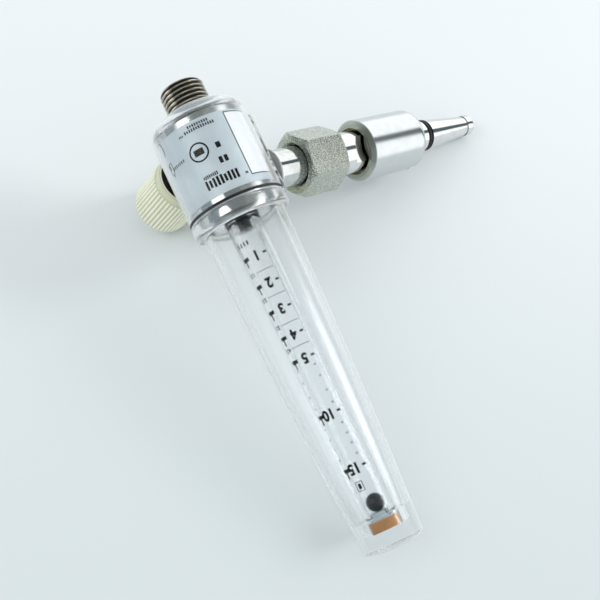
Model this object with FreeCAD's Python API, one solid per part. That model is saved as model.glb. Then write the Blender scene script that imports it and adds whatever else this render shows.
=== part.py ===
import FreeCAD, Part
import os
from math import cos, sin, pi, radians, sqrt

# Oxygen flowmeter for a wall outlet, all sizes in millimetres.
# The flow tube stands along +Z, the probe points along +Y into the wall and the knob along +X.
# The origin is on the probe's axis, in the middle of its sealing land.

# Running gaps
slip_gap = 0.05          # turned parts that are assembled by hand
film_gap = 0.15          # between the printed label and the cover
rim_gap = 0.2            # cover holes around what passes through them
past = 1.0               # how far a cutter runs past the face it opens

# Body and clear cover
body_radius = 13.9
body_below_axis = 21.8   # from the probe's axis to the outlet face
body_end_chamfer = 3.5
cover_wall = 1.2
cover_end_wall = 1.6
cover_corner = 6.2       # rounded shoulder at the outlet end
cover_above_axis = 9.1   # from the probe's axis to the gasket
pad_width = 12.0         # flat pad that the inlet is clamped against
pad_reach = 17.4
pad_below_axis = 17.5
pad_corner = 2.5

# Printed label
label_thick = 0.15
label_above_axis = 7.4
label_below_axis = 16.5
label_start_deg = 148.0
label_sweep_deg = 162.0

# Outlet fitting, a 9/16-18 oxygen thread drawn at its outside size
thread_radius = 7.14
outlet_length = 9.4      # what stands out of the cover
outlet_relief = 0.6      # undercut left between the cover and the thread
outlet_relief_radius = 6.3
outlet_chamfer = 0.9
outlet_bore_radius = 3.0
outlet_bore_depth = 8.0
outlet_cone_depth = 1.6
shank_radius = 5.0       # threaded shanks that screw into the body
outlet_shank = 7.3

# Shroud and its screw collar
gasket_thick = 0.8
gasket_width = 1.2
collar_length = 4.8
collar_chamfer = 0.9
boss_radius = 12.3       # body boss that the collar screws on
boss_length = 4.2
boss_chamfer = 0.6
shroud_root_radius = 13.35
shroud_mid_radius = 12.1
shroud_mid_rise = 44.8   # where that radius is, above the collar
shroud_tip_radius = 9.3
shroud_length = 104.0    # from the collar to the closed end
shroud_wall = 2.2
shroud_end_block = 9.2
shroud_end_round = 0.8
pocket_radius = 4.8
pocket_entry = 1.0       # how far the flow tube and its stop go into the pocket
cavity_flare = 1.5       # from the collar's thread to the tapered cavity
thread_relief = 0.5

# Flow tube and what it holds
tube_root_radius = 5.5
tube_tip_radius = 4.55
tube_gasket_thick = 0.5
tube_socket_radius = 3.1   # where the tube fits over the insert
tube_socket = 5.0
bore_root_radius = 2.85
bore_tip_radius = 3.2
float_radius = 2.7
stop_head = 0.9
stop_leg = 1.2
stop_slot = 1.1
stop_slot_rise = 0.5     # how far the gas slots cut into the head
stop_ledge = 0.8         # tube end left clear round the stop's head
cushion_radius = 4.6
cushion_thick = 3.0
insert_radius = 2.05
insert_rise = 3.2        # spigot that stands up inside the flow tube
insert_depth = 5.0
jet_radius = 0.6
port_radius = 1.2        # gas ways drilled up to the tube and down to the valve

# Inlet: stub, nut and probe along +Y
inlet_gasket_thick = 0.5
inlet_washer_thick = 0.6
washer_radius = 7.0
stub_radius = 6.3
stub_free_length = 9.4   # seen between the washer and the nut
stub_shank = 10.0
gas_bore_radius = 2.0
nut_flats = 19.05
nut_length = 15.7
nut_lip = 3.5
nut_turn_deg = 16.3
nut_chamfer_deg = 30.0
nut_face_step = 0.3      # end faces are turned a little smaller than the flats
nut_countersink = 1.6
nut_gap = 0.3
stub_flange = 2.0
filter_radius = 3.2
filter_thick = 1.6
union_seal_thick = 0.7
neck_free_length = 10.8  # seen between the nut and the indexing sleeve
neck_flats = 11.4
flats_length = 6.5
neck_entry = 2.0         # neck that goes into the sleeve's recess
core_radius = 6.4
index_radius = 10.5
index_length = 27.3
index_recess_radius = 8.0
index_recess_depth = 4.0
index_chamfer = 1.3
index_round = 3.2
index_slot_width = 4.0
index_slot_depth = 1.6
index_slot_length = 5.5
index_slot_deg = 80.0
land_radius = 5.6
land_length = 5.4
groove_width = 2.6
groove_depth = 1.3
ring_radius = 5.7
cone_root_radius = 5.55
cone_tip_radius = 3.7
cone_length = 20.8
nose_radius = 3.85
nose_length = 4.2
nose_neck_radius = 3.3  # undercut between the taper and the nose
nose_neck = 0.6
nose_round = 1.0
probe_bore_radius = 1.5

# Needle valve and knob along +X
knob_drop = 10.5         # knob axis below the probe's axis
chamber_radius = 2.6
chamber_length = 2.6
bonnet_radius = 5.6
bonnet_shank_radius = 4.5
bonnet_shank = 5.6
bonnet_head = 3.0
bonnet_flats = 9.5
stem_radius = 1.8
stem_seal_radius = 2.5
stem_seal_width = 1.4
needle_length = 2.6
needle_tip_radius = 0.5
stem_waist = 0.7         # depth of the seal's groove below the stem
seal_offset = 2.2        # from the bonnet's inner end to the seal's groove
guide_length = 1.3       # lands each side of the seal
bonnet_roof = 1.0
seat_thick = 2.2
seat_hole_radius = 0.9
knob_back = 18.0         # back of the knob from the flow tube's axis
knob_length = 20.9
knob_radius = 9.6
knob_ridges = 45
ridge_depth = 0.45
ridge_corners = ((0.0, 0), (0.34, 0), (0.56, 1), (0.78, 1))   # share of a ridge's pitch, share of its depth
knob_band = 3.5          # smooth band beside the body
band_radius = 9.2
band_chamfer = 0.5
knob_round = 1.0
knob_shell = 2.0
knob_hub_radius = 4.2
knob_dish = 1.2
knob_dish_rim = 2.4
knob_floor = 1.5         # plastic left between the stem's end and the dish
knob_clearance = 1.8     # from the bonnet to the knob's hub
screw_radius = 1.25
screw_length = 2.8
screw_socket = 1.2
screw_offset = 2.5       # from the smooth band to the screw

# Heights and reaches that follow from the sizes above
cover_bore = body_radius + label_thick + film_gap
cover_radius = cover_bore + cover_wall
cover_end = -(body_below_axis + rim_gap + cover_end_wall)
outlet_end = cover_end - outlet_length
gasket_top = cover_above_axis + gasket_thick
collar_top = gasket_top + collar_length
shroud_end = collar_top + shroud_length
shroud_mid = collar_top + shroud_mid_rise
cavity_top = shroud_end - shroud_end_block
boss_top = cover_above_axis + boss_length
tube_bottom = boss_top + tube_gasket_thick
cushion_bottom = cavity_top + pocket_entry
stop_top = cushion_bottom
tube_top = stop_top - stop_head
float_rest = tube_top - stop_leg - float_radius
insert_top = tube_bottom + insert_rise
float_travel = float_rest - (insert_top + float_radius)

washer_start = pad_reach + inlet_gasket_thick
stub_start = washer_start + inlet_washer_thick
nut_start = stub_start + stub_free_length
nut_end = nut_start + nut_length
stub_end = nut_start + nut_lip + nut_gap + stub_flange
probe_start = stub_end + union_seal_thick
index_start = nut_end + neck_free_length
core_start = index_start + neck_entry
index_end = index_start + index_length
land_end = index_end + land_length
groove_end = land_end + groove_width
cone_end = groove_end + cone_length
nose_end = cone_end + nose_length
reach = (index_end + land_end) / 2

bonnet_start = body_radius - bonnet_shank
bonnet_top = cover_radius + rim_gap + bonnet_head
knob_end = knob_back + knob_length
stem_end = knob_end - knob_dish - knob_floor
seat_start = bonnet_start - chamber_length - seat_thick
seat_throat = seat_start + seat_thick / 2

up = FreeCAD.Vector(0, 0, 1)
wall = FreeCAD.Vector(0, 1, 0)
side = FreeCAD.Vector(1, 0, 0)
tube_axis = FreeCAD.Vector(0, -reach, 0)
knob_axis = FreeCAD.Vector(0, -reach, -knob_drop)


def outline(*steps):
    """A closed face from (radius, height) points; a step of two points is an arc through the first."""
    edges = []
    here = start = FreeCAD.Vector(steps[0][0], 0, steps[0][1])
    for step in steps[1:]:
        if isinstance(step[0], tuple):
            middle, end = [FreeCAD.Vector(r, 0, h) for r, h in step]
            edges.append(Part.Arc(here, middle, end).toShape())
        else:
            end = FreeCAD.Vector(step[0], 0, step[1])
            edges.append(Part.LineSegment(here, end).toShape())
        here = end
    edges.append(Part.LineSegment(here, start).toShape())
    return Part.Face(Part.Wire(edges))


def turned(*steps):
    return outline(*steps).revolve(FreeCAD.Vector(0, 0, 0), up, 360)


def rod(radius, low, high):
    return Part.makeCylinder(radius, high - low, FreeCAD.Vector(0, 0, low))


def ring(inner, outer, low, high):
    return rod(outer, low, high).cut(rod(inner, low - past, high + past))


def along(shape, base, direction):
    """Moves a shape turned about Z so that its axis starts at base and points along direction."""
    placed = shape.copy()
    placed.Placement = FreeCAD.Placement(base, FreeCAD.Rotation(up, direction)).multiply(placed.Placement)
    return placed


def corner_arc(radius, height, size, turn):
    """The two points of a quarter-round that goes from the wall at (radius, height) to the end face."""
    slope = size * (1 - sqrt(0.5))
    return (radius - slope, height + turn * (size - slope)), (radius - size, height + turn * size)


def valve_body():
    chamfer = body_end_chamfer
    body = turned((0, -body_below_axis), (body_radius - chamfer, -body_below_axis),
                  (body_radius, -body_below_axis + chamfer), (body_radius, cover_above_axis),
                  (boss_radius, cover_above_axis), (boss_radius, boss_top - boss_chamfer),
                  (boss_radius - boss_chamfer, boss_top), (0, boss_top))
    body = body.cut(rod(gas_bore_radius, -body_below_axis - past, -knob_drop))
    body = body.cut(rod(shank_radius + slip_gap, -body_below_axis - past, -body_below_axis + outlet_shank))
    body = body.cut(rod(port_radius, 0, boss_top + past))
    body = body.cut(rod(insert_radius + slip_gap, boss_top - insert_depth, boss_top + past))
    return_port = rod(port_radius, -knob_drop, boss_top + past)
    return_port.translate(FreeCAD.Vector(bonnet_start - chamber_length / 2, 0, 0))
    body = along(body.cut(return_port), tube_axis, up)
    inlet = rod(gas_bore_radius, 0, body_radius).fuse(rod(shank_radius + slip_gap, stub_start - stub_shank,
                                                          body_radius + past))
    valve = rod(seat_hole_radius, 0, body_radius).fuse(rod(chamber_radius, seat_start, bonnet_start))
    valve = valve.fuse(rod(bonnet_shank_radius + slip_gap, bonnet_start, body_radius + past))
    return body.cut(along(inlet, tube_axis, wall)).cut(along(valve, knob_axis, side))


def outlet_fitting():
    top = -body_below_axis
    bore = outlet_bore_radius
    socket = outlet_end + outlet_bore_depth
    fitting = turned((gas_bore_radius, top + outlet_shank), (shank_radius, top + outlet_shank),
                     (shank_radius, top), (outlet_relief_radius, top),
                     (outlet_relief_radius, cover_end - outlet_relief), (thread_radius, cover_end - outlet_relief),
                     (thread_radius, outlet_end + outlet_chamfer),
                     (thread_radius - outlet_chamfer, outlet_end), (bore + outlet_cone_depth, outlet_end),
                     (bore, outlet_end + outlet_cone_depth), (bore, socket), (gas_bore_radius, socket))
    return along(fitting, tube_axis, up)


def body_sleeve():
    end = cover_end
    shoulder = corner_arc(cover_radius, end + cover_corner, cover_corner, -1)
    outside = turned((0, cover_above_axis), (cover_radius, cover_above_axis),
                     (cover_radius, end + cover_corner), shoulder, (0, end))
    pad = Part.makeBox(pad_width, pad_reach, cover_above_axis + pad_below_axis,
                       FreeCAD.Vector(-pad_width / 2, 0, -pad_below_axis))
    outer = [e for e in pad.Edges if e.BoundBox.YMin > pad_reach - slip_gap]
    edges = [e for e in outer if e.BoundBox.ZLength > pad_corner or e.BoundBox.ZMax < 0]
    pad = pad.makeFillet(pad_corner, edges)
    chamfer = body_end_chamfer
    floor = -body_below_axis - rim_gap
    inside = turned((0, cover_above_axis + past), (cover_bore, cover_above_axis + past),
                    (cover_bore, -body_below_axis + chamfer), (cover_bore - chamfer, floor), (0, floor))
    cover = outside.fuse(pad).cut(inside).cut(rod(thread_radius + rim_gap, end - past, floor + past))
    cover = along(cover, tube_axis, up)
    stub_hole = along(rod(shank_radius + rim_gap, 0, pad_reach + past), tube_axis, wall)
    knob_hole = along(rod(bonnet_radius + rim_gap, 0, cover_radius + past), knob_axis, side)
    return cover.cut(stub_hole).cut(knob_hole)


def label_wrap():
    radius = body_radius + slip_gap
    band = ring(radius, radius + label_thick - slip_gap, -label_below_axis, label_above_axis)
    wedge = Part.makeCylinder(cover_radius, label_below_axis + label_above_axis,
                              FreeCAD.Vector(0, 0, -label_below_axis), up, label_sweep_deg)
    wedge.rotate(FreeCAD.Vector(0, 0, 0), up, label_start_deg)
    return along(band.common(wedge), tube_axis, up)


def collar_gasket():
    inner = cover_radius - gasket_width
    return along(ring(inner, cover_radius, cover_above_axis, gasket_top), tube_axis, up)


def shroud():
    bore = boss_radius + slip_gap
    lip = shroud_end_round
    wall_at = shroud_wall
    side_curve = ((shroud_mid_radius, shroud_mid), (shroud_tip_radius, shroud_end - lip))
    inner_curve = ((shroud_mid_radius - wall_at, (collar_top + cavity_top) / 2),
                   (shroud_root_radius - wall_at, boss_top + cavity_flare))
    shell = turned((bore, gasket_top), (cover_radius, gasket_top),
                   (cover_radius, collar_top - collar_chamfer),
                   (cover_radius - collar_chamfer, collar_top), (shroud_root_radius, collar_top), side_curve,
                   (shroud_tip_radius - lip, shroud_end), (0, shroud_end),
                   (0, cushion_bottom + cushion_thick), (pocket_radius, cushion_bottom + cushion_thick),
                   (pocket_radius, cavity_top), (shroud_tip_radius - wall_at, cavity_top),
                   inner_curve, (bore, boss_top + thread_relief))
    return along(shell, tube_axis, up)


def flow_tube():
    socket = tube_bottom + tube_socket
    tube = turned((bore_root_radius, socket), (tube_socket_radius, socket),
                  (tube_socket_radius, tube_bottom), (tube_root_radius, tube_bottom),
                  (tube_tip_radius, tube_top), (bore_tip_radius, tube_top))
    return along(tube, tube_axis, up)


def tube_gasket():
    return along(ring(tube_socket_radius, tube_root_radius, boss_top, tube_bottom), tube_axis, up)


def orifice_insert():
    jet = ring(jet_radius, insert_radius, boss_top - insert_depth, insert_top)
    return along(jet, tube_axis, up)


def float_ball():
    return along(Part.makeSphere(float_radius, FreeCAD.Vector(0, 0, float_rest)), tube_axis, up)


def float_stop():
    leg = bore_tip_radius - slip_gap * 2
    head = tube_tip_radius - stop_ledge
    plug = turned((0, tube_top - stop_leg), (leg, tube_top - stop_leg), (leg, tube_top), (head, tube_top),
                  (head, stop_top), (0, stop_top))
    for turn in (0, 90):
        slot = Part.makeBox(tube_tip_radius * 2, stop_slot, stop_leg + stop_slot_rise,
                            FreeCAD.Vector(-tube_tip_radius, -stop_slot / 2, tube_top - stop_leg))
        slot.rotate(FreeCAD.Vector(0, 0, 0), up, turn)
        plug = plug.cut(slot)
    return along(plug, tube_axis, up)


def end_cushion():
    return along(rod(cushion_radius, cushion_bottom, cushion_bottom + cushion_thick), tube_axis, up)


def inlet_gasket():
    return along(ring(shank_radius + slip_gap, washer_radius, pad_reach, washer_start), tube_axis, wall)


def inlet_washer():
    washer = ring(shank_radius + slip_gap, washer_radius - rim_gap, washer_start, stub_start)
    return along(washer, tube_axis, wall)


def inlet_stub():
    flange = thread_radius - slip_gap
    back = stub_end - stub_flange
    pocket = filter_radius + slip_gap
    stub = turned((gas_bore_radius, stub_start - stub_shank), (shank_radius, stub_start - stub_shank),
                  (shank_radius, stub_start), (stub_radius, stub_start), (stub_radius, back), (flange, back),
                  (flange, stub_end), (pocket, stub_end), (pocket, stub_end - filter_thick),
                  (gas_bore_radius, stub_end - filter_thick))
    return along(stub, tube_axis, wall)


def inlet_filter():
    return along(rod(filter_radius, stub_end - filter_thick, stub_end), tube_axis, wall)


def union_seal():
    seal = ring(filter_radius - rim_gap, thread_radius - rim_gap, stub_end, probe_start)
    return along(seal, tube_axis, wall)


def union_nut():
    corner = nut_flats / sqrt(3)
    points = [FreeCAD.Vector(corner * cos(radians(60 * k - nut_turn_deg)),
                             corner * sin(radians(60 * k - nut_turn_deg)), nut_start) for k in range(7)]
    prism = Part.Face(Part.makePolygon(points)).extrude(FreeCAD.Vector(0, 0, nut_length))
    face = nut_flats / 2 - nut_face_step
    drop = (corner - face) * sin(radians(nut_chamfer_deg)) / cos(radians(nut_chamfer_deg))
    turned_blank = turned((0, nut_start), (face, nut_start), (corner, nut_start + drop),
                          (corner, nut_end - drop), (face, nut_end), (0, nut_end))
    nut = prism.common(turned_blank)
    mouth = stub_radius + nut_gap
    nut = nut.cut(rod(mouth, nut_start - past, nut_start + nut_lip + past))
    nut = nut.cut(rod(thread_radius + slip_gap, nut_start + nut_lip, nut_end + past))
    slant = nut_countersink / 2
    countersink = turned((0, nut_start - slant), (mouth + nut_countersink, nut_start - slant),
                         (mouth, nut_start + slant), (0, nut_start + slant))
    return along(nut.cut(countersink), tube_axis, wall)


def probe_body():
    bore = probe_bore_radius
    groove = land_radius - groove_depth
    nose = corner_arc(nose_radius, nose_end - nose_round, nose_round, 1)
    probe = turned((bore, probe_start), (thread_radius, probe_start), (thread_radius, core_start),
                   (core_radius, core_start + thread_radius - core_radius), (core_radius, index_end),
                   (land_radius, index_end), (land_radius, land_end), (groove, land_end),
                   (groove, groove_end),
                   (cone_root_radius, groove_end), (cone_tip_radius, cone_end), (nose_neck_radius, cone_end),
                   (nose_neck_radius, cone_end + nose_neck), (nose_radius, cone_end + nose_neck),
                   (nose_radius, nose_end - nose_round), nose, (bore, nose_end))
    flats_start = core_start - flats_length
    for turn in (0, 180):
        cutter = Part.makeBox(thread_radius * 2, thread_radius, flats_length,
                              FreeCAD.Vector(-thread_radius, neck_flats / 2, flats_start))
        cutter.rotate(FreeCAD.Vector(0, 0, 0), up, turn + nut_turn_deg + 90)
        probe = probe.cut(cutter)
    return along(probe, tube_axis, wall)


def indexing_sleeve():
    chamfer = index_chamfer
    dome = corner_arc(index_radius, index_end - index_round, index_round, 1)
    bore = core_radius + slip_gap
    recess = index_start + index_recess_depth
    sleeve = turned((bore, recess), (index_recess_radius, recess), (index_recess_radius, index_start),
                    (index_radius - chamfer, index_start), (index_radius, index_start + chamfer),
                    (index_radius, index_end - index_round), dome, (bore, index_end))
    slot = Part.makeBox(index_slot_depth + past, index_slot_width, index_slot_length + past,
                        FreeCAD.Vector(index_radius - index_slot_depth, -index_slot_width / 2,
                                       index_end - index_slot_length))
    slot.rotate(FreeCAD.Vector(0, 0, 0), up, -index_slot_deg)
    return along(sleeve.cut(slot), tube_axis, wall)


def probe_o_ring():
    section = (ring_radius - (land_radius - groove_depth) - slip_gap) / 2
    middle = (land_end + groove_end) / 2
    seal = Part.makeTorus(ring_radius - section, section, FreeCAD.Vector(0, 0, middle), up)
    return along(seal, tube_axis, wall)


def valve_seat():
    seat = turned((seat_hole_radius, seat_start), (chamber_radius, seat_start),
                  (chamber_radius, seat_start + seat_thick), (stem_radius, seat_start + seat_thick),
                  (seat_hole_radius, seat_throat))
    return along(seat, knob_axis, side)


def valve_bonnet():
    bore = stem_radius + slip_gap
    seal = stem_seal_radius
    shoulder = cover_radius + rim_gap
    bonnet = turned((seal, bonnet_start), (bonnet_shank_radius, bonnet_start),
                    (bonnet_shank_radius, body_radius), (bonnet_radius, body_radius),
                    (bonnet_radius, bonnet_top), (bore, bonnet_top), (bore, shoulder - bonnet_roof),
                    (seal, shoulder - bonnet_roof))
    for turn in range(0, 360, 60):
        cutter = Part.makeBox(bonnet_radius, bonnet_radius * 2, bonnet_head,
                              FreeCAD.Vector(bonnet_flats / 2, -bonnet_radius, shoulder))
        cutter.rotate(FreeCAD.Vector(0, 0, 0), up, turn)
        bonnet = bonnet.cut(cutter)
    return along(bonnet, knob_axis, side)


def stem_groove():
    start = bonnet_start + seal_offset
    return start, start + stem_seal_width


def valve_stem():
    low, high = stem_groove()
    slope = (stem_radius - needle_tip_radius) / needle_length
    tip = seat_throat - (seat_hole_radius - slip_gap - needle_tip_radius) / slope
    slim = stem_radius - stem_waist
    guide = stem_seal_radius - slip_gap
    first = low - guide_length
    last = high + guide_length
    stem = turned((0, tip), (needle_tip_radius, tip), (stem_radius, tip + needle_length),
                  (stem_radius, first), (guide, first), (guide, low), (slim, low), (slim, high),
                  (guide, high), (guide, last), (stem_radius, last), (stem_radius, stem_end), (0, stem_end))
    return along(stem, knob_axis, side)


def stem_o_ring():
    low, high = stem_groove()
    inner = stem_radius - stem_waist + slip_gap
    seal = ring(inner, stem_seal_radius - slip_gap, low + slip_gap, high - slip_gap)
    return along(seal, knob_axis, side)


def ridged_face(height):
    """The knob's section: flat-topped ridges with sloping flanks, all round."""
    corners = []
    for k in range(knob_ridges):
        for share, dip in ridge_corners:
            radius = knob_radius - dip * ridge_depth
            angle = 2 * pi * (k + share) / knob_ridges
            corners.append(FreeCAD.Vector(radius * cos(angle), radius * sin(angle), height))
    return Part.Face(Part.makePolygon(corners + corners[:1]))


def screw_place():
    return knob_back + knob_band + screw_offset


def knob():
    ridged = ridged_face(knob_back + knob_band).extrude(FreeCAD.Vector(0, 0, knob_length - knob_band))
    rounding = corner_arc(knob_radius, knob_end - knob_round, knob_round, 1)
    blank = turned((0, knob_back), (knob_radius, knob_back), (knob_radius, knob_end - knob_round), rounding,
                   (0, knob_end))
    grip = ridged.common(blank)
    edge = band_chamfer
    band = turned((0, knob_back), (band_radius - edge, knob_back), (band_radius, knob_back + edge),
                  (band_radius, knob_back + knob_band), (0, knob_back + knob_band))
    body = grip.fuse(band).removeSplitter()
    inside = band_radius - knob_shell
    hollow = ring(knob_hub_radius, inside, knob_back - past, stem_end - knob_floor)
    hollow = hollow.fuse(rod(inside, knob_back - past, bonnet_top + knob_clearance))
    dish = rod(knob_radius - knob_dish_rim, knob_end - knob_dish, knob_end + past)
    bore = rod(stem_radius + slip_gap, knob_back - past, stem_end)
    body = body.cut(hollow).cut(dish).cut(bore)
    screw_hole = Part.makeCylinder(screw_radius + slip_gap, knob_radius,
                                   FreeCAD.Vector(0, 0, screw_place()), side)
    return along(body.cut(screw_hole), knob_axis, side)


def knob_set_screw():
    start = stem_radius + slip_gap
    screw = Part.makeCylinder(screw_radius, screw_length, FreeCAD.Vector(start, 0, screw_place()), side)
    mouth = FreeCAD.Vector(start + screw_length - screw_socket, 0, screw_place())
    socket = Part.makeCylinder(screw_radius / 2, screw_socket, mouth, side)
    return along(screw.cut(socket), knob_axis, side)


nodes = {
    "valve_body": valve_body, "outlet_fitting": outlet_fitting, "body_sleeve": body_sleeve,
    "label_wrap": label_wrap, "collar_gasket": collar_gasket, "shroud": shroud, "flow_tube": flow_tube,
    "tube_gasket": tube_gasket, "orifice_insert": orifice_insert, "float_ball": float_ball,
    "float_stop": float_stop, "end_cushion": end_cushion, "inlet_gasket": inlet_gasket,
    "inlet_washer": inlet_washer, "inlet_stub": inlet_stub, "inlet_filter": inlet_filter,
    "union_seal": union_seal, "union_nut": union_nut, "probe_body": probe_body,
    "indexing_sleeve": indexing_sleeve, "probe_o_ring": probe_o_ring, "valve_seat": valve_seat,
    "valve_bonnet": valve_bonnet, "stem_o_ring": stem_o_ring, "valve_stem": valve_stem, "knob": knob,
    "knob_set_screw": knob_set_screw,
}

os.makedirs("parts", exist_ok=True)
for name, build in nodes.items():
    solid = build()
    solid.exportStep("parts/%s.step" % name)
    print("%-16s solids %d valid %s volume %.1f" % (name, len(solid.Solids), solid.isValid(), solid.Volume))
print("float rest z %.2f travel %.2f reach %.2f" % (float_rest, float_travel, reach))
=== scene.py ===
import bmesh
import bpy
import math
import numpy as np
from mathutils import Matrix, Vector


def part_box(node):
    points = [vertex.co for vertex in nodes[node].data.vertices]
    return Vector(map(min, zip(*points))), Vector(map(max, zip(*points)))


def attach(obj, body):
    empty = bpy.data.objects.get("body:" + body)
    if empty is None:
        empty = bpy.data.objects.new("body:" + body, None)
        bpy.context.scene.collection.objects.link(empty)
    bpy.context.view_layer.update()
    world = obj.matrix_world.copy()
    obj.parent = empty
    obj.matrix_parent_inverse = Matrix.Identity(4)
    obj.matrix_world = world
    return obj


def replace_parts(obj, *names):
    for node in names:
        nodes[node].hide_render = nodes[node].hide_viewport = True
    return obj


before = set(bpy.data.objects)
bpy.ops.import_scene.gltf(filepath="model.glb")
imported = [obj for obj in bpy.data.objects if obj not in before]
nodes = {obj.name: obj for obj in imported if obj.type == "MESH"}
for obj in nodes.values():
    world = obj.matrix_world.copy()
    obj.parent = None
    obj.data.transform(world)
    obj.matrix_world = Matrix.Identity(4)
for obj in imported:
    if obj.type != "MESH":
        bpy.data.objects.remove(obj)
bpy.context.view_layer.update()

mm = 0.001
tubeLow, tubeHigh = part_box("flow_tube")
tubeY = (tubeLow.y + tubeHigh.y) / 2          # the flow tube's axis
knobLow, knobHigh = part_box("knob")
knobZ = (knobLow.z + knobHigh.z) / 2          # the knob's axis
knobRadius = (knobHigh.z - knobLow.z) / 2
shroudLow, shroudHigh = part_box("shroud")
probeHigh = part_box("probe_body")[1]


# Shader building

class Value:
    # a shader socket, so that an expression on values adds its Math nodes
    def __init__(self, paint, socket):
        self.paint, self.socket = paint, socket

    def maths(self, operation, *terms):
        return self.paint.node("Math", {"operation": operation}, dict(enumerate(terms)))

    def orMore(self, other):
        return self.maths("MAXIMUM", self, other)

    def __add__(self, other):
        return self.maths("ADD", self, other)

    def __radd__(self, other):
        return self.maths("ADD", other, self)

    def __sub__(self, other):
        return self.maths("SUBTRACT", self, other)

    def __rsub__(self, other):
        return self.maths("SUBTRACT", other, self)

    def __mul__(self, other):
        return self.maths("MULTIPLY", self, other)

    def __rmul__(self, other):
        return self.maths("MULTIPLY", other, self)

    def __pow__(self, other):
        return self.maths("POWER", self, other)


class Paint:
    # one node tree: a material's, or the world's
    def __init__(self, owner):
        owner.use_nodes = True
        self.owner, self.tree = owner, owner.node_tree
        self.tree.nodes.clear()

    def node(self, kind, settings=None, sockets=None, out=0):
        made = self.tree.nodes.new("ShaderNode" + kind)
        for key, value in (settings or {}).items():
            setattr(made, key, value)
        for key, value in (sockets or {}).items():
            if isinstance(value, Value):
                self.tree.links.new(value.socket, made.inputs[key])
            else:
                made.inputs[key].default_value = value
        return Value(self, made.outputs[out]) if made.outputs else None

    def place(self, centre=(0, 0, 0), scale=(1, 1, 1)):
        # the part's own coordinates, measured from a centre
        here = self.node("TexCoord", out="Object")
        return self.node("Mapping", {"vector_type": "TEXTURE"}, {"Vector": here, "Location": centre, "Scale": scale})

    def noise(self, scale, detail=2.0, vector=None, rough=0.5):
        return self.node("TexNoise", None, {"Vector": vector or self.place(), "Scale": scale,
                                            "Detail": detail, "Roughness": rough})

    def parts(self, vector):
        split = self.node("SeparateXYZ", None, {"Vector": vector})
        return [Value(self, split.socket.node.outputs[k]) for k in range(3)]

    def radial(self, vector, axis):
        # distance from an axis through the vector's zero
        first, second = [part for part, way in zip(self.parts(vector), "xyz") if way != axis]
        return (first * first + second * second) ** 0.5

    def crests(self, vector, axis, groove):
        # 0 in the grooves of a turned surface, 1 at their crests and again well inside them
        reach = self.radial(vector, axis)
        inside = self.under(reach, *groove["inside"])
        return self.span(reach, groove["root"], groove["crest"]).orMore(inside)

    def blend(self, share, first, second):
        return self.node("Mix", {"data_type": "RGBA"}, {0: share, 6: first, 7: second}, out=2)

    def span(self, value, low, high):
        # 0 up to low and 1 from high on, with a soft step between
        return self.node("MapRange", {"interpolation_type": "SMOOTHSTEP"}, {0: value, 1: low, 2: high})

    def under(self, value, limit, edge):
        # 1 up to the limit and 0 from an edge's width past it
        return 1 - self.span(value, limit, limit + edge)

    def bump(self, height, strength, distance):
        return self.node("Bump", None, {"Height": height, "Strength": strength, "Distance": distance})

    def surface(self, shader):
        self.node("OutputMaterial", None, {"Surface": shader})
        return self.owner


def newPaint(name):
    return Paint(bpy.data.materials.new(name))


def rgb(red, green, blue):
    # a colour written as the eye's 0 to 255, turned to linear light
    level = [c / 255 / 12.92 if c / 255 <= 0.04045 else ((c / 255 + 0.055) / 1.055) ** 2.4
             for c in (red, green, blue)]
    return (*level, 1.0)


# Finishes

metalLook = {
    "polished": {"tone": rgb(226, 227, 226), "dim": rgb(214, 215, 213), "rough": (0.08, 0.13), "rings": 0.08},
    "body": {"tone": rgb(208, 210, 208), "dim": rgb(190, 192, 190), "rough": (0.08, 0.14), "rings": 0.05},
    "satin": {"tone": rgb(210, 213, 214), "dim": rgb(206, 209, 210), "rough": (0.19, 0.21), "rings": 0.35},
    "thread": {"tone": rgb(212, 206, 192), "dim": rgb(172, 164, 148), "rough": (0.14, 0.26), "rings": 0.08},
    "brass": {"tone": rgb(206, 172, 104), "dim": rgb(150, 118, 62), "rough": (0.18, 0.3), "rings": 0.3},
    "dark": {"tone": rgb(74, 76, 78), "dim": rgb(52, 54, 56), "rough": (0.14, 0.26), "rings": 0.1},
}
turning = {
    "rings": 5200.0, "ringHeight": 0.02 * mm, "wear": 260.0, "worn": (0.42, 0.7),
    "softEdge": 1.0 * mm, "faceEdge": 0.4 * mm, "rimEdge": 0.3 * mm, "recessEdge": 0.1 * mm,
}


def turnedMetal(name, look, axis, centre, groove=None, face=None, soft=None):
    # lathe rings are a fine wave of noise that changes only along the axis, with faint wear over them; a groove
    # paints shade on the metal from its crest's radius down to its root's, a face gives the tooled end a tone of its
    # own and paints the recess in it with a tone standing in for its light and shade, and soft makes the metal
    # rougher up to a height
    paint = newPaint(name)
    here = paint.place(centre)
    along = paint.parts(here)["xyz".index(axis)]
    lines = paint.noise(turning["rings"], 2.0, paint.node("CombineXYZ", None, {"X": along}))
    mask = paint.span(paint.noise(turning["wear"], 4.0, here), *turning["worn"])
    low, high = look["rough"]
    rough = low + (high - low) * mask
    if soft:
        rough = rough + soft["rough"] * paint.under(along, soft["top"], turning["softEdge"])
    tone = paint.blend(mask, look["tone"], look["dim"])
    if groove:
        # painted shade: the groove's roots get a darker tone than its crests
        tone = paint.blend(paint.crests(here, axis, groove), groove["tone"], tone)
    if face:
        reach = paint.radial(here, axis)
        end = paint.under(along, face["end"], turning["faceEdge"])
        tone = paint.blend(end * paint.under(reach, face["rim"], turning["rimEdge"]), tone, face["tone"])
        # painted light and shade: the recess in the tooled end gets a tone standing in for its shade and reflections
        tone = paint.blend(end * paint.under(reach, face["recess"], turning["recessEdge"]), tone, face["dark"])
    shader = paint.node("BsdfPrincipled", None, {
        "Base Color": tone, "Metallic": 1.0, "Roughness": rough,
        "Normal": paint.bump(lines, look["rings"], turning["ringHeight"])})
    return paint.surface(shader)


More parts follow.
